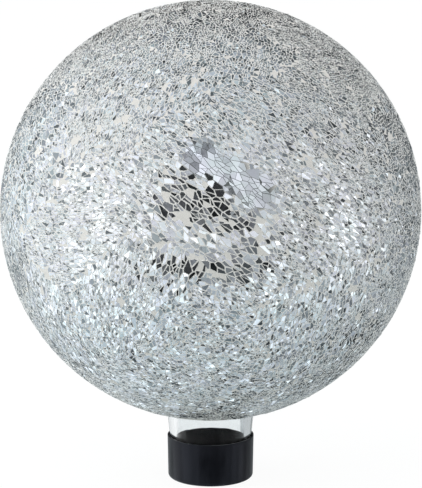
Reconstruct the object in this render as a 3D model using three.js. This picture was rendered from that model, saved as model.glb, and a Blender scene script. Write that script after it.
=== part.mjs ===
// Garden gazing ball. A blown glass globe with a short open neck is buttered with cream grout and covered
// with sheets of crackled mirror glass. A black moulded cap is pushed over the neck and closes its bore.
// Millimetres, +Z up. The origin is the middle of the cap's flat underside, on which the ball stands.
import * as THREE from 'three';
import { ConvexHull } from 'three/addons/math/ConvexHull.js';

// The ball and its layers, from the outside inwards
const ballDiameter = 253.4; // over the flats of the shards, so that their corners reach ten inches
const shardThickness = 1.4;
const groutThickness = 0.8;
const glassWall = 1.6;
const seatGap = 0.3; // air between pieces that are bonded, pressed or stood on each other

// The crackle: shards within a sheet meet edge to edge, and grout shows between the sheets
const shardWidth = 15.6;
const jointWidth = 2.6;
const groutMargin = 2; // bare grout below the lowest shards
const groutEdgeReach = 1.5; // the grout stops this far above the neck's flare
const sheetCount = 44;
const shardJitterShare = 0.3; // how far a shard's middle strays, as a share of its width
const narrowestEdgeShare = 0.35; // the most that a joint may take from each end of a shard's edge
const cornerReachShare = 1.15; // a shard's corner moves in further than its sides do

// The neck, drawn out of the same gather as the globe and fire-polished at its lip
const neckBore = 41.2;
const neckWall = 4.6; // level with the cap's rim
const neckTaper = 0.4; // the outside draws in this much from the cap's rim down to the lip
const neckShowing = 13.2; // from the cap's rim to the level of the ball's underside
const neckFlareDegrees = 5.7; // the bare part widens towards the globe
const outerFlareRadius = 8;
const innerFlareRadius = 8; // the bore stays straight almost to the globe

// The cap
const capHeight = 26.4;
const capWall = 1.1;
const capFloor = 2.2;
const capFootRound = 1.8;
const capRimRound = 0.4;

// Fineness of the round pieces
const aroundSteps = 32;
const globeStepDegrees = 15;
const shortestStepShare = 0.3; // the last step down to a layer's edge is no shorter than this
const bendSteps = 4;
const smallBendSteps = 3;

const degrees = THREE.MathUtils.degToRad;
const point = (radius, height) => new THREE.Vector2(radius, height);

// Points of an arc about a centre, from one direction to another, in radians above the +R axis
function arc(centre, radius, from, to, steps) {
  return Array.from({ length: steps + 1 }, (_, k) => {
    const turn = from + ((to - from) * k) / steps;
    return point(centre.x + radius * Math.cos(turn), centre.y + radius * Math.sin(turn));
  });
}

// Turns a closed outline of (radius, height) points about the Z axis
function turned(outline) {
  const geometry = new THREE.LatheGeometry(outline, aroundSteps);
  return geometry.rotateX(Math.PI / 2);
}

const radii = {};
radii.shardFlats = ballDiameter / 2;
radii.shardBacks = radii.shardFlats - shardThickness;
radii.groutOutside = radii.shardBacks - seatGap;
radii.groutInside = radii.groutOutside - groutThickness;
radii.glassOutside = radii.groutInside - seatGap;
radii.glassInside = radii.glassOutside - glassWall;
const ballCentre = point(0, capHeight + neckShowing + radii.shardFlats);
const neckLip = capFloor + seatGap;
const neckRimRadius = neckBore / 2 + neckWall;
const neckLipRadius = neckRimRadius - neckTaper;

// Half of a sphere's outline, from the top down to an angle above straight down. The steps fall on the
// same angles in every layer, so that the layers' facets lie over each other.
function sphereOutline(radius, lowestAngle) {
  const step = degrees(globeStepDegrees);
  const whole = Math.floor((Math.PI - lowestAngle) / step - shortestStepShare);
  const turns = Array.from({ length: whole + 1 }, (_, k) => k * step).concat(Math.PI - lowestAngle);
  return turns.map((turn) => point(radius * Math.sin(turn), ballCentre.y + radius * Math.cos(turn)));
}

// The outer flare is an arc that touches the globe from outside and the widening neck. Its centre lies on
// the neck's line moved out by the flare's radius, one flare radius and one globe radius from the middle.
function outerFlare() {
  const lean = degrees(neckFlareDegrees);
  const along = point(Math.sin(lean), Math.cos(lean));
  const outwards = point(Math.cos(lean), -Math.sin(lean));
  const start = point(neckRimRadius, capHeight).addScaledVector(outwards, outerFlareRadius);
  const fromBall = start.clone().sub(ballCentre);
  const middle = fromBall.dot(along);
  const reach = radii.glassOutside + outerFlareRadius;
  const travel = -middle - Math.sqrt(middle ** 2 - fromBall.lengthSq() + reach ** 2);
  const centre = start.addScaledVector(along, travel);
  const towardsBall = ballCentre.clone().sub(centre).angle();
  return { centre, touchesGlobe: towardsBall, touchesNeck: Math.PI - lean };
}

// The inner flare touches the inside of the globe's wall and the straight bore
function innerFlare() {
  const centreRadius = neckBore / 2 + innerFlareRadius;
  const drop = Math.sqrt((radii.glassInside + innerFlareRadius) ** 2 - centreRadius ** 2);
  const centre = point(centreRadius, ballCentre.y - drop);
  return { centre, touchesGlobe: ballCentre.clone().sub(centre).angle() };
}

// The blown globe and its neck, one wall of glass that is thickest at the neck
function globeGeometry() {
  const outer = outerFlare();
  const inner = innerFlare();
  const lipRound = (neckLipRadius - neckBore / 2) / 2;
  const lipCentre = point(neckBore / 2 + lipRound, neckLip + lipRound);
  const outerAngle = outer.touchesGlobe - Math.PI / 2;
  const innerAngle = inner.touchesGlobe - Math.PI / 2;
  return turned([
    ...sphereOutline(radii.glassInside, innerAngle).slice(0, -1),
    ...arc(inner.centre, innerFlareRadius, inner.touchesGlobe, Math.PI, bendSteps),
    ...arc(lipCentre, lipRound, Math.PI, 2 * Math.PI, bendSteps),
    point(neckRimRadius, capHeight),
    ...arc(outer.centre, outerFlareRadius, outer.touchesNeck, outer.touchesGlobe, bendSteps),
    ...sphereOutline(radii.glassOutside, outerAngle).slice(0, -1).reverse(),
  ]);
}

// The grout, buttered over the globe down to its flare, with a rounded edge there
const groutEdgeAngle = (() => {
  const flare = outerFlare();
  const touch = arc(flare.centre, outerFlareRadius, flare.touchesGlobe, flare.touchesGlobe, 1)[0];
  return Math.asin((touch.x + groutEdgeReach) / radii.glassOutside);
})();

function groutGeometry() {
  const middle = (radii.groutInside + radii.groutOutside) / 2;
  const roundCentre = point(
    middle * Math.sin(groutEdgeAngle),
    ballCentre.y - middle * Math.cos(groutEdgeAngle),
  );
  const outwards = groutEdgeAngle - Math.PI / 2;
  return turned([
    ...sphereOutline(radii.groutInside, groutEdgeAngle),
    ...arc(roundCentre, groutThickness / 2, outwards - Math.PI, outwards, smallBendSteps).slice(1, -1),
    ...sphereOutline(radii.groutOutside, groutEdgeAngle).reverse(),
  ]);
}

// The cap, moulded as one thin cup that follows the neck's taper. The neck's lip stands on its floor.
function capGeometry() {
  const boreAtRim = neckRimRadius + seatGap;
  const boreAtFloor = neckLipRadius + seatGap;
  const foot = boreAtFloor + capWall - capFootRound;
  const rim = boreAtRim + capWall - capRimRound;
  return turned([
    point(0, 0),
    ...arc(point(foot, capFootRound), capFootRound, -Math.PI / 2, 0, bendSteps),
    ...arc(point(rim, capHeight - capRimRound), capRimRound, 0, Math.PI / 2, smallBendSteps),
    point(boreAtRim, capHeight),
    point(boreAtFloor, capFloor),
    point(0, capFloor),
  ]);
}

// Even, seeded randomness from 0 to 1, so that each build cracks the glass alike
function seeded(seed) {
  let state = seed;
  return () => {
    state = (state + 0x6d2b79f5) | 0;
    let mixed = Math.imul(state ^ (state >>> 15), 1 | state);
    mixed = (mixed + Math.imul(mixed ^ (mixed >>> 7), 61 | mixed)) ^ mixed;
    return ((mixed ^ (mixed >>> 14)) >>> 0) / 2 ** 32;
  };
}

// One of count directions that are spread evenly from straight up to a given height of the unit sphere
function spiralDirection(index, count, lowest) {
  const goldenTurn = Math.PI * (3 - Math.sqrt(5));
  const height = 1 - ((1 - lowest) * (index + 0.5)) / count;
  const across = Math.sqrt(1 - height ** 2);
  return new THREE.Vector3(
    across * Math.cos(index * goldenTurn),
    across * Math.sin(index * goldenTurn),
    height,
  );
}

// Middles of the shards, as directions from the ball's centre over the whole sphere
function shardDirections() {
  const random = seeded(7);
  const count = Math.round((4 * Math.PI * radii.shardFlats ** 2) / shardWidth ** 2);
  const stray = (shardJitterShare * shardWidth) / radii.shardFlats;
  return Array.from({ length: count }, (_, k) => {
    const sideways = new THREE.Vector3(random() - 0.5, random() - 0.5, random() - 0.5);
    return spiralDirection(k, count, -1).addScaledVector(sideways, 2 * stray).normalize();
  });
}

// The crackle as a polyhedron. Each shard is the flat that touches the sphere of the flats at its middle,
// and a corner is where three neighbouring flats meet. The hull of the middles says which are neighbours.
function crackle() {
  const middles = shardDirections();
  const index = new Map(middles.map((middle, k) => [middle, k]));
  const hull = new ConvexHull().setFromPoints(middles);
  const corners = [];
  const cornerLeftOf = new Map(); // from a directed pair of neighbours to the corner on its left
  for (const face of hull.faces) {
    const around = [0, 1, 2].map((k) => index.get(face.getEdge(k).head().point));
    const [a, b, c] = around.map((k) => middles[k]);
    const direction = b.clone().sub(a).cross(c.clone().sub(a)).normalize();
    const place = direction.multiplyScalar(radii.shardFlats / direction.dot(a));
    around.forEach((k, n) => cornerLeftOf.set(k + ',' + around[(n + 1) % 3], corners.length));
    corners.push({ place, around });
  }
  // A shard's corners and the neighbours across its edges, both anticlockwise from outside
  const shards = middles.map((middle) => ({ middle, corners: [], neighbours: [] }));
  const firstCorner = new Map();
  corners.forEach((corner, k) => corner.around.forEach((shard) => firstCorner.set(shard, k)));
  shards.forEach((shard, k) => {
    let corner = firstCorner.get(k);
    do {
      const { around } = corners[corner];
      const next = around[(around.indexOf(k) + 2) % 3];
      shard.corners.push(corner);
      shard.neighbours.push(next);
      corner = cornerLeftOf.get(k + ',' + next);
    } while (corner !== shard.corners[0]);
  });
  return { shards, corners, cornerLeftOf };
}

// Shares the shards out among the sheets. Each sheet starts at the shard nearest its own middle and takes
// in neighbours, nearest first, so that every sheet is one connected patch.
function shareOut(shards) {
  const bareAngle = groutEdgeAngle + (groutMargin + shardWidth / 2) / radii.shardFlats;
  const covered = shards.map((shard) => shard.middle.z > -Math.cos(bareAngle));
  const sheetOf = shards.map(() => -1);
  const waiting = [];
  for (let sheet = 0; sheet < sheetCount; sheet += 1) {
    const middle = spiralDirection(sheet, sheetCount, -Math.cos(bareAngle));
    const distances = shards.map(
      (shard, k) => (covered[k] ? shard.middle.distanceTo(middle) : Infinity),
    );
    waiting.push({ sheet, shard: distances.indexOf(Math.min(...distances)), reach: 0 });
  }
  while (waiting.length) {
    const nearest = waiting.reduce((best, w, k) => (w.reach < waiting[best].reach ? k : best), 0);
    const [{ sheet, shard, reach }] = waiting.splice(nearest, 1);
    if (sheetOf[shard] >= 0) continue;
    sheetOf[shard] = sheet;
    for (const next of shards[shard].neighbours) {
      const further = reach + shards[shard].middle.distanceTo(shards[next].middle);
      if (covered[next] && sheetOf[next] < 0) waiting.push({ sheet, shard: next, reach: further });
    }
  }
  return sheetOf;
}

// A sheet's own place for a corner. Inside the sheet it is where the flats meet. On its edge it moves in by
// half the joint, along the crack between two of the sheet's shards or towards the only shard's middle, so
// that each shard stays flat.
function cornerPlace(pattern, sheetOf, sheet, corner) {
  const { place, around } = pattern.corners[corner];
  const own = around.filter((shard) => sheetOf[shard] === sheet);
  if (own.length === 3) return place.clone();
  if (own.length === 1) {
    const middle = pattern.shards[own[0]].middle.clone().multiplyScalar(radii.shardFlats);
    const inwards = middle.sub(place).normalize();
    return place.clone().addScaledVector(inwards, (cornerReachShare * jointWidth) / 2);
  }
  const ends = [own[0] + ',' + own[1], own[1] + ',' + own[0]].map((key) => pattern.cornerLeftOf.get(key));
  const inner = pattern.corners[ends.find((end) => end !== corner)].place;
  const crack = inner.clone().sub(place);
  const move = Math.min(jointWidth / 2, narrowestEdgeShare * crack.length());
  return place.clone().addScaledVector(crack.normalize(), move);
}

// One sheet: the flats of its shards, the same flats drawn in towards the ball's centre for their backs,
// and a wall along each edge that faces another sheet
function sheetGeometry(pattern, sheetOf, sheet) {
  const places = [];
  const triangles = [];
  const numbers = new Map();
  const inwards = radii.shardBacks / radii.shardFlats;
  const lift = new THREE.Vector3(0, 0, ballCentre.y);
  const front = (corner) => {
    if (!numbers.has(corner)) {
      const place = cornerPlace(pattern, sheetOf, sheet, corner);
      numbers.set(corner, places.length / 3);
      places.push(...place.clone().add(lift).toArray());
      places.push(...place.multiplyScalar(inwards).add(lift).toArray());
    }
    return numbers.get(corner);
  };
  pattern.shards.forEach((shard, k) => {
    if (sheetOf[k] !== sheet) return;
    const fronts = shard.corners.map(front);
    for (let n = 2; n < fronts.length; n += 1) {
      triangles.push(fronts[0], fronts[n - 1], fronts[n]);
      triangles.push(fronts[0] + 1, fronts[n] + 1, fronts[n - 1] + 1);
    }
    shard.neighbours.forEach((neighbour, n) => {
      if (sheetOf[neighbour] === sheet) return;
      const [from, to] = [fronts[n], fronts[(n + 1) % fronts.length]];
      triangles.push(from, from + 1, to + 1, from, to + 1, to);
    });
  });
  return new THREE.BufferGeometry()
    .setAttribute('position', new THREE.Float32BufferAttribute(places, 3))
    .setIndex(triangles);
}

const finishes = {
  clearGlass: { color: 0xdfe8ea, roughness: 0.05, metalness: 0 },
  creamGrout: { color: 0xd9d5c9, roughness: 0.9, metalness: 0 },
  silveredShards: { color: 0xb4bec3, roughness: 0.12, metalness: 0.9 },
  blackPlastic: { color: 0x1b1c20, roughness: 0.45, metalness: 0 },
};

const gazingBall = new THREE.Group();

function addPiece(name, geometry, finish) {
  const piece = new THREE.Mesh(geometry, new THREE.MeshStandardMaterial(finishes[finish]));
  piece.name = name;
  gazingBall.add(piece);
}

addPiece('glass_globe', globeGeometry(), 'clearGlass');
addPiece('grout_coat', groutGeometry(), 'creamGrout');
addPiece('neck_cap', capGeometry(), 'blackPlastic');

const pattern = crackle();
const sheetOf = shareOut(pattern.shards);
for (let sheet = 0; sheet < sheetCount; sheet += 1) {
  const name = 'mosaic_sheet_' + String(sheet + 1).padStart(2, '0');
  addPiece(name, sheetGeometry(pattern, sheetOf, sheet), 'silveredShards');
}

export default gazingBall;
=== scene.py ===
import math

import bpy
import numpy as np
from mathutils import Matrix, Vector
from mathutils.bvhtree import BVHTree
from mathutils.geometry import delaunay_2d_cdt


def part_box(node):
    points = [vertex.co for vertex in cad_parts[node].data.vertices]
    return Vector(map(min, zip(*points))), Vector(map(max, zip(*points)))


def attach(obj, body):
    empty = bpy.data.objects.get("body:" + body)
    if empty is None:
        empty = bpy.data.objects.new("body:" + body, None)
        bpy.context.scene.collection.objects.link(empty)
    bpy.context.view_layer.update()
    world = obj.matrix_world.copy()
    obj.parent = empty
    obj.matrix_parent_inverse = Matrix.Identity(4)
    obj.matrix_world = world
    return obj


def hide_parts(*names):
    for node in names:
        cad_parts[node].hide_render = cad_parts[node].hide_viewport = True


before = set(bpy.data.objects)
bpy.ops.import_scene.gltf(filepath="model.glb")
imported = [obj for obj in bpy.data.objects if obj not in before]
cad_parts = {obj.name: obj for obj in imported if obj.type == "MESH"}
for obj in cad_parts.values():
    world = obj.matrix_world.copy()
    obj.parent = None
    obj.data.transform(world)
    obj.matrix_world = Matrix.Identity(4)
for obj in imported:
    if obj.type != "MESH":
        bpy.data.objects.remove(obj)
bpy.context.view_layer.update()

MM = 0.001
# A length below this counts as none
tiny = 1e-12

# The place of everything. The ball stands on its cap, and the middle of the globe is where its packed
# solid has it: one radius below the globe's top.
globe_low, globe_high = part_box("glass_globe")
glass_radius = (globe_high.x - globe_low.x) / 2
ball_middle = np.array([0.0, 0.0, globe_high.z - glass_radius])


# The camera. A long lens a good metre away looks a little down on the ball, and dips a little below its
# middle. The sensor's long side, in millimetres, goes with the picture's height.
camera_distance = 1300 * MM
camera_elevation = math.radians(10.04)
camera_dip = math.radians(0.89)
camera_sideways = 0.26 * MM
focal_pixels = 2145.7
image_height_pixels = 488
sensor_long_side = 36

lens = bpy.data.cameras.new("camera")
lens.sensor_width = sensor_long_side
lens.lens = sensor_long_side * focal_pixels / image_height_pixels
camera = bpy.data.objects.new("camera", lens)
bpy.context.scene.collection.objects.link(camera)
towards_camera = np.array([0.0, -math.cos(camera_elevation), math.sin(camera_elevation)])
camera.location = ball_middle + camera_distance * towards_camera + [camera_sideways, 0, 0]
camera.rotation_euler = (math.pi / 2 - camera_elevation - camera_dip, 0, 0)
bpy.context.scene.camera = camera


# The studio. A pale floor under a white world, two soft boxes and a top light, and all round the ball a
# pale light tent that only glossy surfaces see, in place of the floor, with dark gaps before the camera.
# None of it is part of the ball.
def linear(hex_colour):
    """The linear RGBA of an sRGB hex colour: the two-piece sRGB curve, taken backwards."""
    parts = np.array([int(hex_colour[i:i + 2], 16) / 255 for i in (0, 2, 4)])
    straight = np.where(parts <= 0.04045, parts / 12.92, ((parts + 0.055) / 1.055) ** 2.4)
    return (*straight.tolist(), 1.0)


def add(tree, kind, sockets=None, **settings):
    """Adds a node: sockets maps an input's name or number to a value, or to the output that feeds it."""
    node = tree.nodes.new(kind)
    for name, value in settings.items():
        setattr(node, name, value)
    for name, value in (sockets or {}).items():
        if isinstance(value, bpy.types.NodeSocket):
            tree.links.new(value, node.inputs[name])
        else:
            node.inputs[name].default_value = value
    return node


def new_tree(owner):
    """The empty node tree of a new material or world."""
    owner.use_nodes = True
    owner.node_tree.nodes.clear()
    return owner.node_tree


def new_piece(name, points, faces):
    """A mesh object at the origin, with its place in its mesh."""
    mesh = bpy.data.meshes.new(name)
    mesh.from_pydata(np.asarray(points).tolist(), [], faces)
    mesh.update()
    piece = bpy.data.objects.new(name, mesh)
    bpy.context.scene.collection.objects.link(piece)
    return piece


def seen_through_glass(tree):
    """1 for rays that come straight through glass, and 0 for others, also those that a gloss sent on."""
    path = add(tree, "ShaderNodeLightPath")
    straight = add(tree, "ShaderNodeMath", {0: path.outputs["Glossy Depth"], 1: 0.5}, operation="LESS_THAN")
    through = add(tree, "ShaderNodeMath", {
        0: straight.outputs[0], 1: path.outputs["Is Transmission Ray"]}, operation="MULTIPLY")
    return through.outputs[0]


# White as it is seen, a little dimmer as light, and dim for rays that a gloss sends on through the glass
world = bpy.data.worlds.new("white studio")
bpy.context.scene.world = world
tree = new_tree(world)
world_light = 0.80
sent_on_light = 0.15
path = add(tree, "ShaderNodeLightPath")
seen = add(tree, "ShaderNodeMath", {
    0: path.outputs["Is Camera Ray"], 1: path.outputs["Is Glossy Ray"]}, operation="MAXIMUM")
white = add(tree, "ShaderNodeMath", {0: seen.outputs[0], 1: seen_through_glass(tree)}, operation="MAXIMUM")
other = add(tree, "ShaderNodeMapRange", {
    "Value": path.outputs["Is Transmission Ray"], "To Min": world_light, "To Max": sent_on_light})
strength = add(tree, "ShaderNodeMix", {"Factor": white.outputs[0], "A": other.outputs[0], "B": 1.0})
background = add(tree, "ShaderNodeBackground", {"Color": linear("ffffff"), "Strength": strength.outputs[0]})
add(tree, "ShaderNodeOutputWorld", {"Surface": background.outputs[0]})

# Matt pale paper: it shows no gloss and no edge, and takes the ball's shadow. A glow of its own makes it
# white to the camera and through the neck's glass. Rays that a gloss sent on through the glass see it a
# darker grey: painted shade, which darkens the neck where its glass mirrors the floor.
floor_reach = 9.0
floor_drop = 0.1 * MM
floor_glow = 1.09
floor_glow_share = 0.86
floor_sides = ((-1, -1), (1, -1), (1, 1), (-1, 1))
corners = [(x * floor_reach, y * floor_reach, -floor_drop) for x, y in floor_sides]
floor = new_piece("floor", corners, [(0, 1, 2, 3)])
paper = bpy.data.materials.new("pale paper sweep")
tree = new_tree(paper)
path = add(tree, "ShaderNodeLightPath")
through_glass = seen_through_glass(tree)
seen = add(tree, "ShaderNodeMath", {
    0: path.outputs["Is Camera Ray"], 1: through_glass}, operation="MAXIMUM")
# Painted shade: the paper turns a darker grey for rays that a gloss sent on through the glass
sent_on = add(tree, "ShaderNodeMath", {
    0: path.outputs["Is Transmission Ray"], 1: through_glass}, operation="SUBTRACT")
paper_and_painted_shade = add(tree, "ShaderNodeMix", {
    "Factor": sent_on.outputs[0], "A": linear("c6cecd"), "B": linear("8a8f8d")}, data_type="RGBA")
glow_share = add(tree, "ShaderNodeMath", {0: seen.outputs[0], 1: floor_glow_share}, operation="MULTIPLY")
lit = add(tree, "ShaderNodeBsdfDiffuse", {"Color": paper_and_painted_shade.outputs["Result"]})
glow = add(tree, "ShaderNodeEmission", {"Color": linear("ffffff"), "Strength": floor_glow})
mix = add(tree, "ShaderNodeMixShader", {0: glow_share.outputs[0], 1: lit.outputs[0], 2: glow.outputs[0]})
add(tree, "ShaderNodeOutputMaterial", {"Surface": mix.outputs[0]})
floor.data.materials.append(paper)
floor.visible_glossy = False


def directions(azimuths, elevations):
    """Unit vectors from angles in radians: 0 azimuth is towards the camera and a quarter turn is right."""
    level = np.cos(elevations)
    return np.stack([np.sin(azimuths) * level, -np.cos(azimuths) * level, np.sin(elevations)], -1)


def add_soft_box(name, azimuth, elevation, distance, size, radiance):
    """A rectangular area lamp that faces the ball and that no gloss mirrors. Its power is pi times its
    radiance times its area."""
    away = directions(math.radians(azimuth), math.radians(elevation))
    lamp = bpy.data.lights.new(name, "AREA")
    lamp.shape = "RECTANGLE"
    lamp.size, lamp.size_y = size
    lamp.energy = math.pi * radiance * size[0] * size[1]
    box = bpy.data.objects.new(name, lamp)
    box.location = ball_middle + distance * away
    box.rotation_euler = Vector(away).to_track_quat("Z", "Y").to_euler()
    box.visible_camera = False
    box.visible_glossy = False
    bpy.context.scene.collection.objects.link(box)


# Two cards of matt board curve round the neck, a white one on the left and behind, and a grey one on the
# right. Only light through glass meets them: they draw the edges of the clear neck.
card_radius = 0.12
card_height = 0.1
card_steps = 12
# Each card: its name and colour, and the azimuths of its two ends in degrees
edge_cards = [
    ("white", "ffffff", -192, -75),
    ("grey", "c4c8ca", 75, 153),
]
for shade_name, hex_colour, start, end in edge_cards:
    turn = np.radians(np.linspace(start, end, card_steps + 1))
    foot = np.stack([card_radius * np.sin(turn), -card_radius * np.cos(turn), np.zeros(card_steps + 1)], -1)
    strip = np.arange(card_steps)
    quads = np.stack([strip, strip + 1, strip + card_steps + 2, strip + card_steps + 1], -1).tolist()
    card = new_piece(shade_name + "_card", np.concatenate([foot, foot + [0, 0, card_height]]), quads)
    board = bpy.data.materials.new(shade_name + " board")
    tree = new_tree(board)
    glow = add(tree, "ShaderNodeEmission", {"Color": linear(hex_colour), "Strength": 1.0})
    add(tree, "ShaderNodeOutputMaterial", {"Surface": glow.outputs[0]})
    card.data.materials.append(board)
    card.visible_camera = False
    card.visible_diffuse = False
    card.visible_glossy = False
    card.visible_shadow = False


# Each soft box: name, azimuth and elevation in degrees, distance and size in metres, and radiance
soft_boxes = [
    ("left_soft_box", -82, 18, 1.7, (0.8, 1.0), 4.6),
    ("right_soft_box", 69, 10, 1.7, (0.5, 0.8), 0.8),
    ("top_light", -10, 68, 1.9, (1.2, 0.9), 0.75),
]
for soft_box in soft_boxes:
    add_soft_box(*soft_box)


def angle_between(ways, heart):
    """The angles in radians between unit vectors: the arc cosine of their product."""
    return np.arccos(np.clip(ways @ heart, -1, 1))


def soft_step(values):
    """0 below 0, 1 above 1, and the smooth cubic between."""
    values = np.clip(values, 0, 1)
    return values * values * (3 - 2 * values)


# The light tent, all round the ball. Its cloth turns cooler below, overhead and behind, and calmer overhead
# and behind: each change starts at an angle in degrees, and is whole so many degrees further on.
tent_radius = 3.4
tent_grey = 0.71
tent_seed = 5
below_from, below_over = 5, 45
overhead_from, overhead_over, overhead_share = 20, 50, 0.8
behind_from, behind_over, behind_share = 85, 60, 0.9
calm_share = 0.5
# Each glow: azimuth, elevation and half width in degrees, the light it adds or takes, and its evenness
tent_glows = [
    (-82, 5, 55, 0.44, 0.7),
    (140, 20, 50, -0.33, 0),
    (180, 40, 50, -0.42, 0),
    (75, 0, 28, 0.15, 0),
    (76, 46, 22, -0.18, 0),
    (150, -50, 45, -0.33, 0),
    (24, 30, 22, 0.2, 0.75),
    (12, 48, 10, -0.16, 0),
    (-40, -50, 32, 0.16, 0),
    (-30, -12, 20, 0.14, 0),
    (-80, -44, 24, 0.12, 0),
    (-138, -34, 34, 0.28, 0),
    (80, -66, 20, 0.14, 0),
    (-70, -18, 10, 0.5, 0.6),
    (-52, 12, 15, 0.24, 0),
    (-40, 24, 22, 0.08, 0),
    (-60, -75, 30, -0.14, 0),
    (72, -20, 8, 0.25, 0.6),
    (0, -60, 28, 0.1, 0),
    (-165, 3, 30, -0.14, 0),
    (-166, 18, 16, -0.24, 0),
    (-162, -26, 20, -0.2, 0),
    (-35, -2, 12, 0.16, 0),
    (38, -32, 12, 0.14, 0),
]
# Each card or lamp: azimuth, elevation, half width, half height and soft edge in degrees, the light it
# leaves, and the share of it that is gaps
tent_cards = [
    (-15, 17, 11, 12, 3, 0.06, 0.24),
    (4, 12, 9, 10.5, 3, 0.05, 0.06),
    (19, 6, 5, 6, 3, 0.07, 0.3),
    (4, -19.5, 36, 3.5, 2, 0.05, 0),
    (-108, -19.5, 14, 3.5, 3, 1.15, 0),
    (-138, -19.5, 16, 3.5, 3, 0.45, 0),
    (140, -19.5, 20, 3.5, 3, 0.4, 0),
    (13, -21, 13, 7.5, 4, 0.29, 0.38),
    (-2, 27, 6, 5, 3, 1.3, 0),
    (-3, 54, 9, 7, 3, 0.1, 0.5),
    (-78, 16, 4, 5, 2, 2.4, 0),
    (-60, 3, 3, 5, 2, 2.4, 0),
    (73, -3, 10, 10, 2, 2.2, 0.72),
    (92, -18, 10, 8, 2, 1.8, 0.85),
    (60, 22, 14, 8, 2, 1.8, 0.85),
]
tent_columns, tent_rows = 240, 121
azimuths, elevations = np.meshgrid(np.linspace(-math.pi, math.pi, tent_columns, endpoint=False),
                                   np.linspace(-math.pi / 2, math.pi / 2, tent_rows))
tent_ways = directions(azimuths, elevations).reshape(-1, 3)
azimuths, elevations = np.degrees(azimuths).ravel(), np.degrees(elevations).ravel()
tent_light = np.full(len(tent_ways), tent_grey)
below = soft_step((-elevations - below_from) / below_over)
overhead = overhead_share * soft_step((elevations - overhead_from) / overhead_over)
behind = behind_share * soft_step((np.abs(azimuths) - behind_from) / behind_over)
tent_coolness = np.max([below, overhead, behind], 0)
tent_evenness = calm_share * np.maximum(overhead, behind) * (1 - below)
for azimuth, elevation, width, amount, even in tent_glows:
    heart = directions(np.radians(azimuth), np.radians(elevation))
    off = np.degrees(angle_between(tent_ways, heart))
    bell = np.exp(-(off / width) ** 2)
    tent_light += amount * bell
    tent_evenness = np.maximum(tent_evenness, even * bell)
tent_chance = np.random.default_rng(tent_seed).uniform(size=len(tent_ways))
for azimuth, elevation, width, height, edge, level, gaps in tent_cards:
    beside = np.abs((azimuths - azimuth + 180) % 360 - 180)
    above = np.abs(elevations - elevation)
    covered = soft_step((width - beside) / edge + 0.5) * soft_step((height - above) / edge + 0.5)
    covered *= tent_chance >= gaps
    tent_light += covered * (level - tent_light)
    tent_evenness = np.maximum(tent_evenness, covered)


def grid_faces(rows, columns):
    """Quads of a grid that closes on itself along its columns."""
    row, column = np.meshgrid(np.arange(rows - 1), np.arange(columns), indexing="ij")
    after = (column + 1) % columns
    quads = np.stack([row * columns + column, row * columns + after,
                      (row + 1) * columns + after, (row + 1) * columns + column], -1)
    return quads.reshape(-1, 4).tolist()


def mark(piece, name, values):
    """Gives each point of a piece a value, which its material reads by the same name."""
    marks = piece.data.attributes.new(name, "FLOAT", "POINT")
    marks.data.foreach_set("value", np.asarray(values, np.float32))


tent = new_piece("light_tent", ball_middle + tent_radius * tent_ways, grid_faces(tent_rows, tent_columns))
mark(tent, "light", tent_light)
mark(tent, "evenness", tent_evenness)
mark(tent, "coolness", tent_coolness)

# White nylon, hung in folds: its mirror image is uneven, with glints where a fold turns to a lamp.
cloth = bpy.data.materials.new("tent cloth")
tree = new_tree(cloth)
place = add(tree, "ShaderNodeTexCoord")
light = add(tree, "ShaderNodeAttribute", attribute_name="light")
evenness = add(tree, "ShaderNodeAttribute", attribute_name="evenness")
from_ball = add(tree, "ShaderNodeVectorMath", {
    0: place.outputs["Object"], 1: tuple(ball_middle)}, operation="SUBTRACT")
way = add(tree, "ShaderNodeVectorMath", {0: from_ball.outputs[0]}, operation="NORMALIZE")
fold_size = math.radians(5.5)
folds = add(tree, "ShaderNodeTexNoise", {
    "Vector": way.outputs[0], "Scale": 1 / fold_size, "Detail": 2.0, "Roughness": 0.5})
uneven = add(tree, "ShaderNodeMapRange", {
    "Value": folds.outputs[0], "From Min": 0.34, "From Max": 0.66, "To Min": 0.12, "To Max": 1.88})
smooth = add(tree, "ShaderNodeMix", {"Factor": evenness.outputs["Fac"], "A": uneven.outputs[0], "B": 1.0})
level = add(tree, "ShaderNodeMath", {0: light.outputs["Fac"], 1: smooth.outputs[0]}, operation="MULTIPLY")
glint_size = math.radians(2.6)
glints = add(tree, "ShaderNodeTexNoise", {
    "Vector": way.outputs[0], "Scale": 1 / glint_size, "Detail": 0.0})
sparkle = add(tree, "ShaderNodeMapRange", {
    "Value": glints.outputs[0], "From Min": 0.70, "From Max": 0.76, "To Max": 1.6})
off_cards = add(tree, "ShaderNodeMath", {0: 1.0, 1: evenness.outputs["Fac"]}, operation="SUBTRACT")
spared = add(tree, "ShaderNodeMath", {0: sparkle.outputs[0], 1: off_cards.outputs[0]}, operation="MULTIPLY")
sum_light = add(tree, "ShaderNodeMath", {0: level.outputs[0], 1: spared.outputs[0]}, operation="ADD")
coolness = add(tree, "ShaderNodeAttribute", attribute_name="coolness")
tint = add(tree, "ShaderNodeMix", {
    "Factor": coolness.outputs["Fac"], "A": linear("f8f8fb"), "B": linear("ebf5fb")}, data_type="RGBA")
glow = add(tree, "ShaderNodeEmission", {"Color": tint.outputs["Result"], "Strength": sum_light.outputs[0]})
add(tree, "ShaderNodeOutputMaterial", {"Surface": glow.outputs[0]})
tent.data.materials.append(cloth)
tent.visible_camera = False
tent.visible_diffuse = False
tent.visible_transmission = False
tent.visible_shadow = False

# The picture takes the light as it is, with no film curve
bpy.context.scene.view_settings.view_transform = "Standard"


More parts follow.
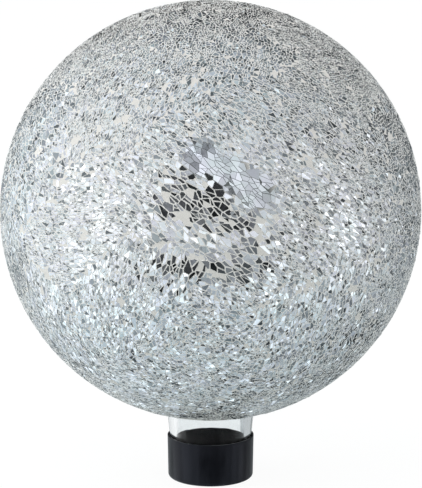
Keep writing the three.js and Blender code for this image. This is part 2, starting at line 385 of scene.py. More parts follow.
# The glass globe and its neck: soda-lime glass, blown as one piece, with a thin wall that thickens down
# the neck and a lip rounded in the flame. Only the neck shows, below the mosaic.
neck_lip_height = globe_low.z
glass_wall = 1.6 * MM
neck_bore_radius = 20.6 * MM
neck_lip_radius = 24.8 * MM
neck_rim_radius = 25.2 * MM
neck_lean = math.radians(5.7)
outer_flare = 8 * MM
inner_flare = 8 * MM
cap_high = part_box("neck_cap")[1]
cap_rim_height = cap_high.z
ball_steps, inner_flare_steps, lip_steps, outer_flare_steps = 60, 14, 16, 12
globe_turn_steps = 128
sharp_angle = math.radians(40)


def arc(centre, radius, start, end, steps):
    """Points about a centre in the plane of radius and height, at even steps of angle."""
    turn = np.linspace(start, end, steps + 1)
    return np.stack([centre[0] + radius * np.cos(turn), centre[1] + radius * np.sin(turn)], -1)


def turned(name, outline, steps):
    """Turns a closed outline of (radius, height) points about the Z axis. Points on the axis stay one."""
    outline = np.asarray(outline)
    turn = np.linspace(0, 2 * math.pi, steps, endpoint=False)
    on_axis = outline[:, 0] < tiny
    radii, heights = outline.T
    grid = np.stack([np.outer(np.cos(turn), radii), np.outer(np.sin(turn), radii),
                     np.tile(heights, (steps, 1))], -1)
    number = np.arange(grid.shape[0] * grid.shape[1]).reshape(grid.shape[:2])
    number[:, on_axis] = number[0, on_axis]
    faces = []
    for here in range(len(outline)):
        there = (here + 1) % len(outline)
        if on_axis[here] and on_axis[there]:
            continue
        quads = np.stack([number[:, here], np.roll(number[:, here], -1),
                          np.roll(number[:, there], -1), number[:, there]], -1)
        if on_axis[here]:
            quads = quads[:, [0, 2, 3]]
        elif on_axis[there]:
            quads = quads[:, [0, 1, 2]]
        faces += quads.tolist()
    used, numbers = np.unique(np.concatenate(faces), return_inverse=True)
    ends = np.cumsum([len(face) for face in faces])
    faces = [face.tolist() for face in np.split(numbers, ends[:-1])]
    piece = new_piece(name, grid.reshape(-1, 3)[used], faces)
    piece.data.shade_smooth()
    piece.data.set_sharp_from_angle(angle=sharp_angle)
    return piece


def flare_centre(reach, start, lean):
    """The middle of a flare: on the line from start at an angle to the axis, a given reach from the ball's
    middle, by the quadratic for a line and a circle."""
    along = np.array([math.sin(lean), math.cos(lean)])
    from_ball = start - ball_middle[[0, 2]]
    middle = from_ball @ along
    return start + along * (-middle - math.sqrt(middle ** 2 - from_ball @ from_ball + reach ** 2))


def towards_ball(centre):
    """The angle in the plane of radius and height from a point to the ball's middle."""
    return math.atan2(ball_middle[2] - centre[1], -centre[0])


leaning = np.array([math.cos(neck_lean), -math.sin(neck_lean)])
outer_start = np.array([neck_rim_radius, cap_rim_height]) + outer_flare * leaning
outer_centre = flare_centre(glass_radius + outer_flare, outer_start, neck_lean)
inner_start = np.array([neck_bore_radius + inner_flare, cap_rim_height])
inner_centre = flare_centre(glass_radius - glass_wall + inner_flare, inner_start, 0)
lip_round = (neck_lip_radius - neck_bore_radius) / 2
lip_centre = (neck_bore_radius + lip_round, neck_lip_height + lip_round)
globe_outline = np.concatenate([
    arc(ball_middle[[0, 2]], glass_radius - glass_wall, math.pi / 2,
        towards_ball(inner_centre) - math.pi, ball_steps),
    arc(inner_centre, inner_flare, towards_ball(inner_centre), math.pi, inner_flare_steps)[1:],
    arc(lip_centre, lip_round, math.pi, 2 * math.pi, lip_steps),
    [(neck_rim_radius, cap_rim_height)],
    arc(outer_centre, outer_flare, math.pi - neck_lean, towards_ball(outer_centre), outer_flare_steps),
    arc(ball_middle[[0, 2]], glass_radius, towards_ball(outer_centre) - math.pi,
        math.pi / 2, ball_steps)[1:],
])
globe_outline[[0, -1], 0] = 0
globe = turned("blown_globe", globe_outline, globe_turn_steps)

# Blown clear glass, cooled in air: a brilliant surface with a slow waviness, which bends the edges and the
# cap that are seen through it.
clear_glass = bpy.data.materials.new("clear blown glass")
tree = new_tree(clear_glass)
place = add(tree, "ShaderNodeTexCoord")
glass_ripple = 9 * MM
ripple = add(tree, "ShaderNodeTexNoise", {
    "Vector": place.outputs["Object"], "Scale": 1 / glass_ripple, "Detail": 2.0})
wavy = add(tree, "ShaderNodeBump", {"Height": ripple.outputs[0], "Strength": 0.12, "Distance": 0.6 * MM})
glass = add(tree, "ShaderNodeBsdfPrincipled", {
    "Base Color": linear("f2f5f6"), "Roughness": 0.02, "IOR": 1.5, "Transmission Weight": 1.0,
    "Specular Tint": (0.25, 0.25, 0.25, 1.0), "Normal": wavy.outputs[0]})
add(tree, "ShaderNodeOutputMaterial", {"Surface": glass.outputs[0]})
globe.data.materials.append(clear_glass)
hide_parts("glass_globe")
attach(globe, "globe")


# The grout: cream cement, buttered over the globe and pressed up between the shards, then wiped almost
# flush with them. It ends in a rounded edge just above the neck's flare. Where a sheet stayed so tight
# that no grout came up, its narrow cracks lie in shade, which is painted on the grout as a dark grey.
shard_radius = 126.95 * MM
grout_below_shards = 0.16 * MM
grout_radius = shard_radius - grout_below_shards
grout_off_glass = 0.3 * MM
grout_back = glass_radius + grout_off_glass
grout_edge_reach = 1.5 * MM
grout_back_steps, grout_edge_steps, grout_face_steps = 90, 10, 180
grout_turn_steps = 240
touch_turn = towards_ball(outer_centre)
flare_touch = arc(outer_centre, outer_flare, touch_turn, touch_turn, 1)[0]
grout_edge = math.asin((flare_touch[0] + grout_edge_reach) / glass_radius)
edge_turn = grout_edge - math.pi / 2
grout_middle = (grout_radius + grout_back) / 2
edge_centre = ball_middle[[0, 2]] + grout_middle * np.array([math.sin(grout_edge), -math.cos(grout_edge)])
edge_round = (grout_radius - grout_back) / 2
grout_outline = np.concatenate([
    arc(ball_middle[[0, 2]], grout_back, math.pi / 2, edge_turn, grout_back_steps),
    arc(edge_centre, edge_round, edge_turn - math.pi, edge_turn, grout_edge_steps)[1:-1],
    arc(ball_middle[[0, 2]], grout_radius, edge_turn, math.pi / 2, grout_face_steps),
])
grout_outline[[0, -1], 0] = 0
grout = turned("grout_bed", grout_outline, grout_turn_steps)

# The band where the sheets stayed tight: the directions of its hearts, how far each reaches and over how
# much it fades, in degrees. The power makes the painted shade in the cracks strong only well inside it.
tight_azimuths = np.radians([-2.0, 5.2, 11.9])
tight_elevations = np.radians([22.9, 19.0, 14.6])
tight_ways = directions(tight_azimuths, tight_elevations)
tight_reach = 3.4
tight_fade = 3.2
crack_shade_power = 2


def unit(vectors):
    """The vectors at length one."""
    return vectors / np.maximum(np.linalg.norm(vectors, axis=-1, keepdims=True), tiny)


def fading(ways, heart, reach, fade):
    """1 within a reach in degrees of a direction, 0 past the fade beyond it, and smooth between."""
    off = np.degrees(angle_between(ways, heart))
    return 1 - soft_step((off - reach) / fade)


def tightness(ways):
    """How tight the sheet stayed: the greatest of the fadings about the hearts of the tight band."""
    return np.max([fading(ways, heart, tight_reach, tight_fade) for heart in tight_ways], 0)


grout_points = np.array([tuple(vertex.co) for vertex in grout.data.vertices])
# The painted crack shade: full in the middle of the tight band, and none outside it
mark(grout, "painted_crack_shade", tightness(unit(grout_points - ball_middle)) ** crack_shade_power)

# Cream cement grout, sponged off while wet: dull and sandy, lighter and darker where the sponge passed.
# Its sand is drawn about twice as coarse as it is, so that it shows.
cream_grout = bpy.data.materials.new("cream cement grout")
tree = new_tree(cream_grout)
place = add(tree, "ShaderNodeTexCoord")
sand_grain = 0.45 * MM
wiped_patch = 14 * MM
sand = add(tree, "ShaderNodeTexNoise", {
    "Vector": place.outputs["Object"], "Scale": 1 / sand_grain, "Detail": 3.0, "Roughness": 0.6})
wiped = add(tree, "ShaderNodeTexNoise", {
    "Vector": place.outputs["Object"], "Scale": 1 / wiped_patch, "Detail": 4.0})
shade = add(tree, "ShaderNodeMix", {
    "Factor": wiped.outputs[0], "A": linear("f1efeb"), "B": linear("d9d7d3")}, data_type="RGBA")
fleck = add(tree, "ShaderNodeMapRange", {
    "Value": sand.outputs[0], "From Min": 0.3, "From Max": 0.7, "To Min": 0.88, "To Max": 1.06})
speckled = add(tree, "ShaderNodeVectorMath", {
    0: shade.outputs["Result"], 1: fleck.outputs[0]}, operation="MULTIPLY")
# Painted shade: in the tight band the grout turns dark grey, as the shade in cracks that no grout filled
crack_shade_mask = add(tree, "ShaderNodeAttribute", attribute_name="painted_crack_shade")
grout_and_crack_shade = add(tree, "ShaderNodeMix", {
    "Factor": crack_shade_mask.outputs["Fac"], "A": speckled.outputs[0], "B": linear("666a6a")}, data_type="RGBA")
pits = add(tree, "ShaderNodeBump", {"Height": sand.outputs[0], "Strength": 0.5, "Distance": 0.15 * MM})
grout_shader = add(tree, "ShaderNodeBsdfPrincipled", {
    "Base Color": grout_and_crack_shade.outputs["Result"], "Roughness": 0.88, "Normal": pits.outputs[0]})
add(tree, "ShaderNodeOutputMaterial", {"Surface": grout_shader.outputs[0]})
grout.data.materials.append(cream_grout)
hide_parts("grout_coat")
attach(grout, "globe")


# The mosaic: sheets of toughened mirror glass, each struck so that it falls into crackled shards that
# stay side by side, and laid on the wet grout. A sheet cracks into plates and the plates crack on, so the
# shards are angular: each is a flat of its own, tipped a little with its plate and a little by itself.
sheet_names = sorted(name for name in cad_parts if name.startswith("mosaic_sheet_"))

# How a sheet cracks: plates of a width, then shards of an area, which is larger about one direction of the
# front and in the tight band. A piece is cut while it is over so many times the area wanted.
plate_width = 5.4 * MM
plate_stray = 0.42
plate_unevenness = 0.4
spare_rows = 3
shard_area = 3.8 * MM ** 2
large_area = 11 * MM ** 2
tight_area = 12 * MM ** 2
cut_above = 1.5
crack_turn = math.radians(35)
crack_rounds = 5
shortest_edge = 0.3 * MM
fewest_corners = 3
large_azimuth = math.radians(0.6)
large_elevation = math.radians(7)
large_way = directions(large_azimuth, large_elevation)
large_reach = 13
large_fade = 7

# How the shards lie, and how wide the cracks between them are along the sheet and across it. Sheets up to
# an angle in radians from a sheet are its neighbours.
plate_tilt = math.radians(1.5)
shard_tilt = math.radians(2.4)
large_tilt_share = 0.55
tight_tilt_share = 0.4
shard_rise = 0.03 * MM
shard_depth = 0.22 * MM
shard_slant = 0.21 * MM
crack_width = 0.52 * MM
tight_crack_share = 0.6
large_crack_share = 1.4
crack_across_share = 0.75
tight_across_share = 0.45
least_sum, least_difference = 0.4, 0.3
most_inwards = 0.6
joint_reach = 1.1 * MM
tight_joint_reach = 3 * MM
neighbour_angle = 1.3
tight_tone = 0.8
tight_evenness = 0.75

# The patches that lost their shards, the raggedness of their edges, and the share of single shards lost.
# Where the sheet is tighter than a limit, no patch is lost.
patch_count = 180
patch_seed = 11
patch_sizes = (0.8 * MM, 2.6 * MM)
patch_ragged = (0.6, 1.5)
shard_ragged = (0.6, 1.35)
lost_share = 0.02
patch_tightness = 0.2

# How the sheets differ: the limits of the stretch and the coarseness that each draws, also by how far its
# middle lies under, over, beside or behind the ball's, as a share of the radius. The bearing of its stretch
# is counted from the line in it that is square to the bearing axis.
sheet_seed = 100
bearing_axis = (0.3, 0.2, 1.0)
sheet_stretch = (1.1, 1.8)
sheet_coarseness = (0.75, 1.7)
under_below, under_coarseness = -0.4, (0.85, 1.25)
crown_above, crown_coarseness = 0.6, (0.6, 1.0)
flank_beyond, flank_coarseness = 0.8, (1.1, 1.8)
back_beyond, back_coarseness = 0.3, (1.0, 1.6)
# The sheets about the middle of the front run down to the right
front_sheets = ("mosaic_sheet_11", "mosaic_sheet_16", "mosaic_sheet_24")
front_stretch = 1.7
front_bearing = math.radians(-20)
front_coarseness = 1

# Where the picture shows the ball, in its pixels, and the share of the radius towards the camera from which
# a bare patch counts as the front's
picture_middle = (210, 209)
picture_radius = 210
front_from = 0.15
# Each bare patch of the front: the pixel of its middle in the picture, and half its width in millimetres
front_patches = [
    (254, 232, 2.8), (255, 216, 2.2), (186, 216, 2.4), (199, 254, 2.4), (205, 204, 1.8),
    (197, 167, 2.2), (170, 198, 1.8), (226, 218, 1.5), (318, 79, 2.2), (341, 92, 1.8),
    (305, 93, 1.7), (335, 127, 1.8), (293, 161, 1.8), (301, 163, 2.2), (316, 157, 1.7),
    (355, 153, 1.8), (357, 171, 2.2), (381, 138, 2.2), (380, 176, 1.8), (310, 220, 1.8),
    (300, 277, 2.2), (345, 280, 2.4), (367, 255, 2.2), (350, 310, 2.2), (362, 308, 2.0),
    (85, 144, 2.4), (106, 134, 2.0), (124, 127, 2.0), (131, 124, 2.4), (47, 153, 2.2),
    (38, 162, 1.8), (72, 180, 2.6), (66, 200, 2.6), (31, 228, 2.2), (92, 232, 2.2),
    (57, 269, 2.4), (50, 284, 1.8), (227, 66, 2.0), (269, 32, 2.0), (269, 82, 2.6),
    (254, 82, 1.6), (186, 90, 2.0), (194, 89, 2.4), (202, 79, 1.7), (140, 109, 2.0),
    (167, 94, 1.8), (175, 107, 1.5), (166, 390, 2.0), (220, 389, 1.8), (118, 374, 2.0),
    (127, 292, 1.7),
]


def node_surface(name):
    """A CAD node's points and faces, for measuring distances to it."""
    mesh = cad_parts[name].data
    points = np.zeros(len(mesh.vertices) * 3, np.float32)
    mesh.vertices.foreach_get("co", points)
    faces = [tuple(polygon.vertices) for polygon in mesh.polygons]
    return points.reshape(-1, 3).astype(float), faces


# The CAD sheets: surfaces, search trees for distances, and directions of their middles
surfaces = {name: node_surface(name) for name in sheet_names}
trees = {name: BVHTree.FromPolygons(points.tolist(), faces) for name, (points, faces) in surfaces.items()}
sheet_ways = {name: Vector(points.mean(0) - ball_middle).normalized()
              for name, (points, faces) in surfaces.items()}


def voronoi(seeds):
    """The cells of points in a plane. A corner is the middle of the circle through three neighbouring
    seeds, and each cell's corners are put in turning order about its seed. Returns each corner's cell and
    place."""
    same_place = 1e-9
    found = delaunay_2d_cdt([Vector(seed) for seed in seeds.tolist()], [], [], 0, same_place)
    seeds = np.array([tuple(seed) for seed in found[0]])
    triangles = np.array(found[2])
    (ax, ay), (bx, by), (cx, cy) = (seeds[triangles[:, corner]].T for corner in range(3))
    a2, b2, c2 = ax * ax + ay * ay, bx * bx + by * by, cx * cx + cy * cy
    double = 2 * (ax * (by - cy) + bx * (cy - ay) + cx * (ay - by))
    x = a2 * (by - cy) + b2 * (cy - ay) + c2 * (ay - by)
    y = a2 * (cx - bx) + b2 * (ax - cx) + c2 * (bx - ax)
    middles = np.stack([x, y], -1) / double[:, None]
    owner = triangles.ravel()
    corners = np.repeat(middles, 3, 0)
    off = corners - seeds[owner]
    order = np.lexsort((np.arctan2(off[:, 1], off[:, 0]), owner))
    return owner[order], corners[order]


def by_cell(values, owner):
    """The mean of the corners' values in each cell."""
    total = np.stack([np.bincount(owner, column) for column in values.T], -1)
    return total / np.bincount(owner)[:, None]


def picked(cells, owner, *rows):
    """Only the chosen cells, numbered anew: each corner's cell, then the other rows of values by corner."""
    chosen = cells[owner]
    return np.unique(owner[chosen], return_inverse=True)[1], *(row[chosen] for row in rows)


def next_corner(owner):
    """For each corner, the one that follows it round its cell."""
    last = np.flatnonzero(np.diff(owner, append=-1))
    after = np.arange(len(owner)) + 1
    after[last] = np.append(0, last[:-1] + 1)
    return after


def areas(owner, corners):
    """Each cell's area: half the sum of the cross products of its corners and the next ones."""
    after = corners[next_corner(owner)]
    return np.bincount(owner, corners[:, 0] * after[:, 1] - after[:, 0] * corners[:, 1]) / 2


def cracked(owner, corners, plate, cut, turn):
    """Halves the cells that are cut. The crack runs through a cell's middle, square to its longer way
    (the main direction of its corners' spread) but for a turn. Each half takes the corners on its side,
    in their order, and the two points where the crack meets the cell's edge."""
    off = corners - by_cell(corners, owner)[owner]
    spread = by_cell(np.stack([off[:, 0] ** 2 - off[:, 1] ** 2, 2 * off[:, 0] * off[:, 1]], -1), owner)
    way = np.arctan2(spread[:, 1], spread[:, 0]) / 2 + turn
    side = (off * np.stack([np.cos(way), np.sin(way)], -1)[owner]).sum(1)
    side[~cut[owner]] = 1
    after = next_corner(owner)
    crossed = np.flatnonzero((side > 0) != (side[after] > 0))
    share = side[crossed] / (side[crossed] - side[after[crossed]])
    meets = corners[crossed] + share[:, None] * (corners[after[crossed]] - corners[crossed])
    half = np.concatenate([2 * owner + (side <= 0), 2 * owner[crossed], 2 * owner[crossed] + 1])
    place_in_turn = np.concatenate([np.arange(len(owner)), crossed + 0.5, crossed + 0.5])
    order = np.lexsort((place_in_turn, half))
    cells, owner = np.unique(half[order], return_inverse=True)
    return owner, np.concatenate([corners, meets, meets])[order], plate[cells // 2]


def without_short_edges(owner, corners):
    """Drops the corners that lie close to the next one, where a cell keeps enough of them."""
    gaps = np.linalg.norm(corners[next_corner(owner)] - corners, axis=1)
    close = gaps < shortest_edge
    left = np.bincount(owner, ~close)
    close &= (left >= fewest_corners)[owner]
    return owner[~close], corners[~close]


def drawn_in(owner, corners, widest, across, slant=0):
    """Moves each cell's edges inwards, the ones that run along the sheet by the widest inset and the ones
    across it by a share of that, less a slant. A corner moves by the mean of its two edges' insets along
    the sum of their inward normals over one plus their product, and by half the insets' difference along
    the normals' difference over one less it. Neither divisor goes under a least value, and no corner goes
    more than part of the way to the middle."""
    after = next_corner(owner)
    before = np.empty_like(after)
    before[after] = np.arange(len(after))
    along = unit(corners[after] - corners)
    inset = np.maximum(widest * (across + (1 - across) * along[:, 0] ** 2) - slant, 0)
    inwards = np.stack([-along[:, 1], along[:, 0]], -1)
    product = (inwards * inwards[before]).sum(1)
    mean = (inset + inset[before]) / 2 / np.maximum(1 + product, least_sum)
    difference = (inset - inset[before]) / 2 / np.maximum(1 - product, least_difference)
    move = mean[:, None] * (inwards + inwards[before]) + difference[:, None] * (inwards - inwards[before])
    most = most_inwards * np.linalg.norm(by_cell(corners, owner)[owner] - corners, axis=1)
    length = np.maximum(np.linalg.norm(move, axis=1), tiny)
    return corners + move * np.minimum(1, most / length)[:, None]


def plate_seeds(reach, chance):
    """Points on a grid of triangles, each strayed at random: every other row is set half a step along."""
    steps = int(reach / plate_width) + spare_rows
    u, v = np.meshgrid(np.arange(-steps, steps + 1), np.arange(-steps, steps + 1))
    grid = np.stack([u + v % 2 / 2, v * math.sqrt(3) / 2], -1).reshape(-1, 2)
    return (grid + chance.uniform(-plate_stray, plate_stray, grid.shape)) * plate_width


def over_ball(flat, way, along):
    """Lays plane points on the unit sphere round a direction: their distance from the plane's origin
    becomes an arc of that length at the shards' radius, and their bearing stays."""
    side = np.cross(way, along)
    far = np.linalg.norm(flat, axis=1, keepdims=True)
    turn = far / shard_radius
    bearing = (flat[:, :1] * along + flat[:, 1:] * side) / np.maximum(far, tiny)
    return np.cos(turn) * way + np.sin(turn) * bearing


def seen_at(pixels):
    """The directions from the ball's middle to the points of it that the picture shows at some pixels:
    across and up by their shares of the ball's radius in the picture, and towards the camera by what is
    left."""
    share = (pixels - picture_middle) / picture_radius * [1, -1]
    near = np.sqrt(1 - (share ** 2).sum(1, keepdims=True))
    camera_up = np.cross([1, 0, 0], -towards_camera)
    return share[:, :1] * [1, 0, 0] + share[:, 1:] * camera_up + near * towards_camera


# The front's patches are where the picture has them, and the rest are strewn over the sides and the back
patch_chance = np.random.default_rng(patch_seed)
patch_ways = unit(patch_chance.normal(size=(patch_count, 3)))
patch_reach = patch_chance.uniform(*patch_sizes, patch_count)
unseen = patch_ways @ towards_camera < front_from
front_table = np.array(front_patches)
patch_ways = np.concatenate([patch_ways[unseen], seen_at(front_table[:, :2])])
patch_reach = np.concatenate([patch_reach[unseen], front_table[:, 2] * MM])


def kept(name, ways, raggedness):
    """Which middles lie on a sheet: nearer to it than to any other, within reach of its edge, and off the
    patches that lost their shards, whose edges are ragged."""
    near = [other for other in sheet_names
            if other != name and sheet_ways[other].angle(sheet_ways[name]) < neighbour_angle]
    points = (ball_middle + ways * shard_radius).tolist()
    own = np.array([trees[name].find_nearest(point)[3] for point in points])
    others = np.min([[trees[other].find_nearest(point)[3] for point in points] for other in near], 0)
    off = angle_between(ways, patch_ways.T) * shard_radius
    tight = tightness(ways)
    lost = (off < patch_reach * raggedness[:, None]).any(1) & (tight < patch_tightness)
    return (own < others) & (own < joint_reach + tight * (tight_joint_reach - joint_reach)) & ~lost


def add_sheet(name, stretch, bearing, coarseness, chance):
    """One crackled sheet. Its plates are cells about strayed points, cracked on until no shard is much
    larger than its place asks. The plane is stretched one way and laid round the sheet's middle. Each
    shard is drawn in by half a crack, laid on its own tipped plane, and closed by walls and a back in the
    grout. Its tone says how well its silvering lasted."""
    points = surfaces[name][0]
    way = np.array(sheet_ways[name])
    reach = angle_between(unit(points - ball_middle), way).max() * shard_radius + plate_width
    level = unit(np.cross(way, bearing_axis))
    along = math.cos(bearing) * level + math.sin(bearing) * np.cross(way, level)
    scale = np.array([stretch ** 0.5, stretch ** -0.5])

    # The plates, and the shards that they crack into
    owner, corners = voronoi(plate_seeds(reach * stretch ** 0.5, chance))
    near = np.linalg.norm(corners * scale, axis=1) < reach + 2 * plate_width
    owner, corners = picked(np.bincount(owner, ~near) == 0, owner, corners)
    plates = owner[-1] + 1
    plate = np.arange(plates)
    coarse = coarseness * np.exp(chance.normal(size=plates) * plate_unevenness)
    if way[1] > back_beyond:
        coarse *= chance.uniform(*back_coarseness)
    for _ in range(crack_rounds):
        ways = over_ball(by_cell(corners, owner) * scale, way, along)
        wanted = np.maximum(
            shard_area + (large_area - shard_area) * fading(ways, large_way, large_reach, large_fade),
            shard_area + (tight_area - shard_area) * tightness(ways))
        wanted *= coarse[plate]
        cut = areas(owner, corners) > cut_above * wanted
        turn = chance.uniform(-crack_turn, crack_turn, owner[-1] + 1)
        owner, corners, plate = cracked(owner, corners, plate, cut, turn)
    owner, corners = without_short_edges(owner, corners)
    corners = corners * scale

    # The shards that lie on the sheet and are not lost
    ways = over_ball(by_cell(corners, owner), way, along)
    raggedness = chance.uniform(*patch_ragged, plates)[plate] * chance.uniform(*shard_ragged, len(ways))
    inside = kept(name, ways, raggedness)
    inside &= chance.uniform(size=len(ways)) > lost_share * (1 - tightness(ways))
    plate, ways = plate[inside], ways[inside]
    owner, corners = picked(inside, owner, corners)
    count = len(ways)

    # Their tops, drawn in by half a crack and laid on tipped planes, and their feet in the grout
    tight = tightness(ways)
    large = fading(ways, large_way, large_reach, large_fade) * (1 - tight)
    opening = 1 + (large_crack_share - 1) * large + (tight_crack_share - 1) * tight
    widest = (crack_width / 2 * opening)[owner]
    across = (crack_across_share + tight * (tight_across_share - crack_across_share))[owner]
    top_ways = over_ball(drawn_in(owner, corners, widest, across), way, along)
    foot_ways = over_ball(drawn_in(owner, corners, widest, across, shard_slant), way, along)
    tip = chance.normal(size=(plates, 3))[plate] * plate_tilt + chance.normal(size=(count, 3)) * shard_tilt
    calm = np.minimum(1 - (1 - large_tilt_share) * large, 1 - (1 - tight_tilt_share) * tight)
    normals = unit(ways + tip * calm[:, None])
    height = shard_radius + chance.normal(size=count) * shard_rise
    top_radius = (height * (ways * normals).sum(1))[owner] / (top_ways * normals[owner]).sum(1)
    tops = ball_middle + top_ways * top_radius[:, None]
    feet = ball_middle + foot_ways * (shard_radius - shard_depth)

    # A face, a back and walls for each shard
    total = len(owner)
    first = np.searchsorted(owner, np.arange(count))
    last = np.append(first[1:], total)
    runs = list(zip(first.tolist(), last.tolist()))
    own, after = np.arange(total), next_corner(owner)
    walls = np.stack([own + total, after + total, after, own], -1)
    faces = [list(range(start, end)) for start, end in runs] + walls.tolist()
    faces += [list(range(end + total - 1, start + total - 1, -1)) for start, end in runs]
    piece = new_piece("shards_" + name[-2:], np.concatenate([tops, feet]), faces)
    piece.data.materials.append(mirror_glass)
    piece.data.materials.append(broken_edge)
    slots = np.repeat([0, 1], [count, total + count]).astype(np.int32)
    piece.data.polygons.foreach_set("material_index", slots)
    tones = chance.uniform(size=count)
    tones = tones + tight * tight_evenness * (tight_tone - tones)
    mark(piece, "tone", np.tile(tones[owner], 2))
    # The painted crack shade for the shards' walls, full in the middle of the tight band
    mark(piece, "painted_crack_shade", np.tile(tight[owner] ** crack_shade_power, 2))
    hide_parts(name)
    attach(piece, "globe")


# Rolled glass, toughened and silvered on its back: a sharp mirror with a faint haze. The silvering has
# gone grey in some shards, its tint drifts between green and violet, and the rollers' ripple bends what
# it mirrors.
mirror_glass = bpy.data.materials.new("silvered toughened glass")
tree = new_tree(mirror_glass)
tone = add(tree, "ShaderNodeAttribute", attribute_name="tone")
ramp = add(tree, "ShaderNodeValToRGB", {"Fac": tone.outputs["Fac"]})
ramp.color_ramp.elements[0].color = linear("646a6c")
ramp.color_ramp.elements[1].color = linear("f1f4f6")
ramp.color_ramp.elements.new(0.22).color = linear("b3b9bb")
ramp.color_ramp.elements.new(0.5).color = linear("dee2e4")
place = add(tree, "ShaderNodeTexCoord")
haze_size = 3 * MM
haze = add(tree, "ShaderNodeTexNoise", {
    "Vector": place.outputs["Object"], "Scale": 1 / haze_size, "Detail": 3.0})
rough = add(tree, "ShaderNodeMapRange", {
    "Value": haze.outputs[0], "From Min": 0.3, "From Max": 0.7, "To Min": 0.02, "To Max": 0.09})
tint_size = 8 * MM
tint_noise = add(tree, "ShaderNodeTexNoise", {
    "Vector": place.outputs["Object"], "Scale": 1 / tint_size, "Detail": 2.0})
tint_share = add(tree, "ShaderNodeMapRange", {
    "Value": tint_noise.outputs[0], "From Min": 0.35, "From Max": 0.65})
tint = add(tree, "ShaderNodeMix", {
    "Factor": tint_share.outputs[0], "A": linear("edf4f4"), "B": linear("f4f4fb")}, data_type="RGBA")
silvering = add(tree, "ShaderNodeVectorMath", {
    0: ramp.outputs[0], 1: tint.outputs["Result"]}, operation="MULTIPLY")
roll_ripple = 2.0 * MM
rolled = add(tree, "ShaderNodeTexNoise", {
    "Vector": place.outputs["Object"], "Scale": 1 / roll_ripple, "Detail": 1.0})
ripple = add(tree, "ShaderNodeBump", {"Height": rolled.outputs[0], "Strength": 1.0, "Distance": 0.007 * MM})
silver = add(tree, "ShaderNodeBsdfPrincipled", {
    "Base Color": silvering.outputs[0], "Metallic": 1.0, "Roughness": rough.outputs[0],
    "Normal": ripple.outputs[0]})
add(tree, "ShaderNodeOutputMaterial", {"Surface": silver.outputs[0]})

# The break of a shard: frosted and pale, with grey-green depths. Where no grout came up behind it, in the
# tight band, it is painted dark as shade.
broken_edge = bpy.data.materials.new("broken glass edge")
tree = new_tree(broken_edge)
place = add(tree, "ShaderNodeTexCoord")
chip_length = 1.6 * MM
chips = add(tree, "ShaderNodeTexNoise", {"Vector": place.outputs["Object"], "Scale": 1 / chip_length})
clear = add(tree, "ShaderNodeMapRange", {"Value": chips.outputs[0], "From Min": 0.38, "From Max": 0.46})
green = add(tree, "ShaderNodeMix", {
    "Factor": clear.outputs[0], "A": linear("566062"), "B": linear("f8f9f8")}, data_type="RGBA")
# Painted shade: in the tight band the break turns dark grey, as the shade in cracks that no grout filled
crack_shade_mask = add(tree, "ShaderNodeAttribute", attribute_name="painted_crack_shade")
edge_colour_and_crack_shade = add(tree, "ShaderNodeMix", {
    "Factor": crack_shade_mask.outputs["Fac"], "A": green.outputs["Result"], "B": linear("6c7071")},
    data_type="RGBA")
edge_shader = add(tree, "ShaderNodeBsdfPrincipled", {
    "Base Color": edge_colour_and_crack_shade.outputs["Result"], "Roughness": 0.35})
add(tree, "ShaderNodeOutputMaterial", {"Surface": edge_shader.outputs[0]})

for number, name in enumerate(sheet_names):
    chance = np.random.default_rng(sheet_seed + number)
    stretch, bearing = chance.uniform(*sheet_stretch), chance.uniform(0, math.pi)
    limits = sheet_coarseness
    if sheet_ways[name].z < under_below:
        limits = under_coarseness
    if sheet_ways[name].z > crown_above:
        limits = crown_coarseness
    if abs(sheet_ways[name].x) > flank_beyond:
        limits = flank_coarseness
    coarseness = chance.uniform(*limits)
    if name in front_sheets:
        stretch, bearing, coarseness = front_stretch, front_bearing, front_coarseness
    add_sheet(name, stretch, bearing, coarseness, chance)


# The cap: a thin cup of black polypropylene, moulded with a slight draft and a rounded foot, and pushed
# up over the neck. The ball stands on its flat underside.
cap_rim_radius = cap_high.x
cap_foot_radius = 26.2 * MM
cap_wall = 1.1 * MM
cap_floor = 2.2 * MM
cap_foot_round = 1.8 * MM
cap_rim_round = 0.4 * MM
cap_foot_steps, cap_rim_steps, cap_mouth_steps = 12, 8, 5
cap_turn_steps = 160
foot_centre = (cap_foot_radius - cap_foot_round, cap_foot_round)
rim_centre = (cap_rim_radius - cap_rim_round, cap_rim_height - cap_rim_round)
mouth_round = cap_rim_round / 2
mouth_centre = (cap_rim_radius - cap_wall + mouth_round, cap_rim_height - mouth_round)
cap_outline = np.concatenate([
    [(0, 0)],
    arc(foot_centre, cap_foot_round, -math.pi / 2, 0, cap_foot_steps),
    arc(rim_centre, cap_rim_round, 0, math.pi / 2, cap_rim_steps),
    arc(mouth_centre, mouth_round, math.pi / 2, math.pi, cap_mouth_steps),
    [(cap_foot_radius - cap_wall, cap_floor), (0, cap_floor)],
])
cap = turned("black_cap", cap_outline, cap_turn_steps)

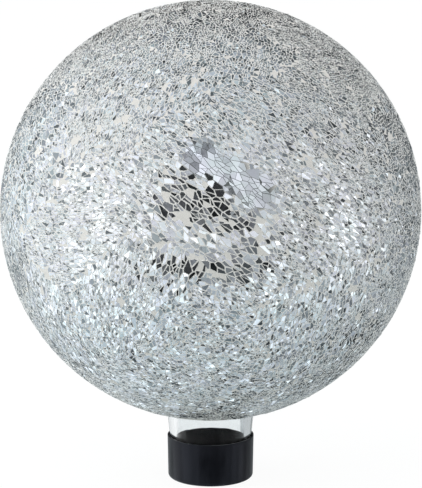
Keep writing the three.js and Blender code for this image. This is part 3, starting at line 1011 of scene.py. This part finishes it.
# Polypropylene moulded against polished steel: a satin black whose long soft highlights are a little
# uneven with handling. The mould's grain is drawn a few times as coarse as it is, so that it shows.
black_plastic = bpy.data.materials.new("black moulded polypropylene")
tree = new_tree(black_plastic)
place = add(tree, "ShaderNodeTexCoord")
mould_grain = 0.35 * MM
grain = add(tree, "ShaderNodeTexNoise", {
    "Vector": place.outputs["Object"], "Scale": 1 / mould_grain, "Detail": 2.0})
skin = add(tree, "ShaderNodeBump", {"Height": grain.outputs[0], "Strength": 0.08, "Distance": 0.05 * MM})
scuff_size = 6 * MM
scuffs = add(tree, "ShaderNodeTexNoise", {
    "Vector": place.outputs["Object"], "Scale": 1 / scuff_size, "Detail": 4.0})
satin = add(tree, "ShaderNodeMapRange", {
    "Value": scuffs.outputs[0], "From Min": 0.3, "From Max": 0.7, "To Min": 0.18, "To Max": 0.24})
dye = add(tree, "ShaderNodeMix", {
    "Factor": scuffs.outputs[0], "A": linear("040508"), "B": linear("090a0e")}, data_type="RGBA")
plastic = add(tree, "ShaderNodeBsdfPrincipled", {
    "Base Color": dye.outputs["Result"], "Roughness": satin.outputs[0], "IOR": 1.49,
    "Specular IOR Level": 0.26, "Specular Tint": linear("e2eaff"), "Normal": skin.outputs[0]})
add(tree, "ShaderNodeOutputMaterial", {"Surface": plastic.outputs[0]})
cap.data.materials.append(black_plastic)

# The same plastic off a sand-blasted core: dull, so that the inside stays black behind the glass.
blasted_plastic = bpy.data.materials.new("black polypropylene off a blasted core")
tree = new_tree(blasted_plastic)
place = add(tree, "ShaderNodeTexCoord")
core_grain = 0.6 * MM
blast = add(tree, "ShaderNodeTexNoise", {
    "Vector": place.outputs["Object"], "Scale": 1 / core_grain, "Detail": 2.0})
flat_dye = add(tree, "ShaderNodeMix", {
    "Factor": blast.outputs[0], "A": linear("0b0c0f"), "B": linear("111215")}, data_type="RGBA")
inside = add(tree, "ShaderNodeBsdfPrincipled", {
    "Base Color": flat_dye.outputs["Result"], "Roughness": 0.6, "IOR": 1.49, "Specular IOR Level": 0.1})
add(tree, "ShaderNodeOutputMaterial", {"Surface": inside.outputs[0]})
cap.data.materials.append(blasted_plastic)

# The faces within the middle of the wall, above the floor's middle and under the rim, are the inside
centres = np.zeros(len(cap.data.polygons) * 3)
cap.data.polygons.foreach_get("center", centres)
centres = centres.reshape(-1, 3)
wall_middle = (cap_foot_radius - cap_wall / 2
               + (cap_rim_radius - cap_foot_radius) * centres[:, 2] / cap_rim_height)
inner = (np.linalg.norm(centres[:, :2], axis=1) < wall_middle) & (centres[:, 2] > cap_floor / 2)
inner &= centres[:, 2] < cap_rim_height - cap_rim_round
cap.data.polygons.foreach_set("material_index", inner.astype(np.int32))
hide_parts("neck_cap")
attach(cap, "cap")
